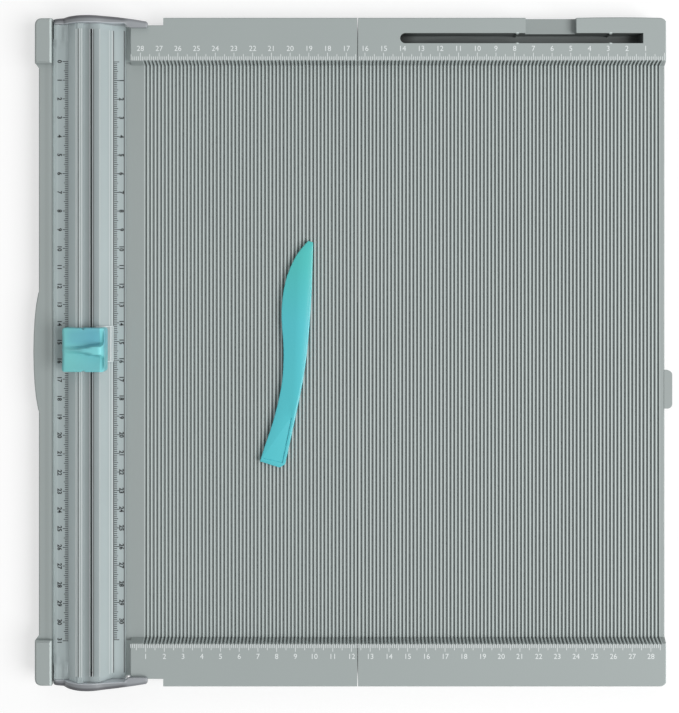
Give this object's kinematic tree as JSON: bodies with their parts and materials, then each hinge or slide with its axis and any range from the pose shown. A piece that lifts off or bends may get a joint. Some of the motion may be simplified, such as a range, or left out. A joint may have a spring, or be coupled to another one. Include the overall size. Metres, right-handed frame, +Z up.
{
  "type": "scoring board",
  "caption": "Folding grooved scoring board with a hinged trimming arm, a sliding blade carriage and a loose creasing tool stored in a rail slot.",
  "frame": {"origin": "on the table under the middle of the whole board, the arm's end caps included", "axes": "+X to the right along the rails, from the arm to the finger tab; +Y to the rear rail that holds the tool slot; +Z up"},
  "size_m": [0.344, 0.3584, 0.0317],
  "materials": {
    "board_grey": "fine satin moulding",
    "cap_grey": "smooth",
    "clear_plastic": "clear, faintly smoky",
    "teal_plastic": "satin moulding",
    "dark_strip": "matte",
    "rubber": "matte",
    "steel": "ground"
  },
  "bodies": {
    "left_half": {"left_board": "board_grey", "cutting_strip": "dark_strip", "fold_pin_rear": "steel", "fold_pin_middle": "steel", "fold_pin_front": "steel", "left_foot_1": "rubber", "left_foot_2": "rubber", "left_foot_3": "rubber", "left_foot_4": "rubber", "left_foot_5": "rubber", "left_foot_6": "rubber"},
    "right_half": {"right_board": "board_grey", "right_foot_1": "rubber", "right_foot_2": "rubber", "right_foot_3": "rubber", "right_foot_4": "rubber"},
    "arm": {"ruler_arm": "clear_plastic", "arm_cap_rear": "cap_grey", "arm_cap_front": "cap_grey", "arm_pivot_pin_rear": "steel", "arm_pivot_pin_front": "steel", "cap_screw_rear": "steel", "cap_screw_front": "steel"},
    "carriage": {"carriage": "teal_plastic", "carriage_keeper": "steel", "blade_cartridge": "dark_strip", "cutting_blade": "steel", "sight_plate": "clear_plastic"},
    "tool": {"scoring_tool": "teal_plastic"}
  },
  "joints": [
    {"name": "board_fold", "type": "hinge", "parent": "left_half", "child": "right_half", "pos_m": [0.0024, 0, 0.003], "axis": [0, 1, 0], "range_deg": [0, 180]},
    {"name": "arm_lift", "type": "hinge", "parent": "left_half", "child": "arm", "pos_m": [-0.1584, 0, 0.0132], "axis": [0, -1, 0], "range_deg": [0, 90]},
    {"name": "carriage_slide", "type": "slide", "parent": "arm", "child": "carriage", "axis": [0, 1, 0], "range_m": [-0.165, 0.16]},
    {"name": "tool_lift", "type": "slide", "parent": "left_half", "child": "tool", "axis": [0, 0, 1], "range_m": [0, 0.1]}
  ]
}
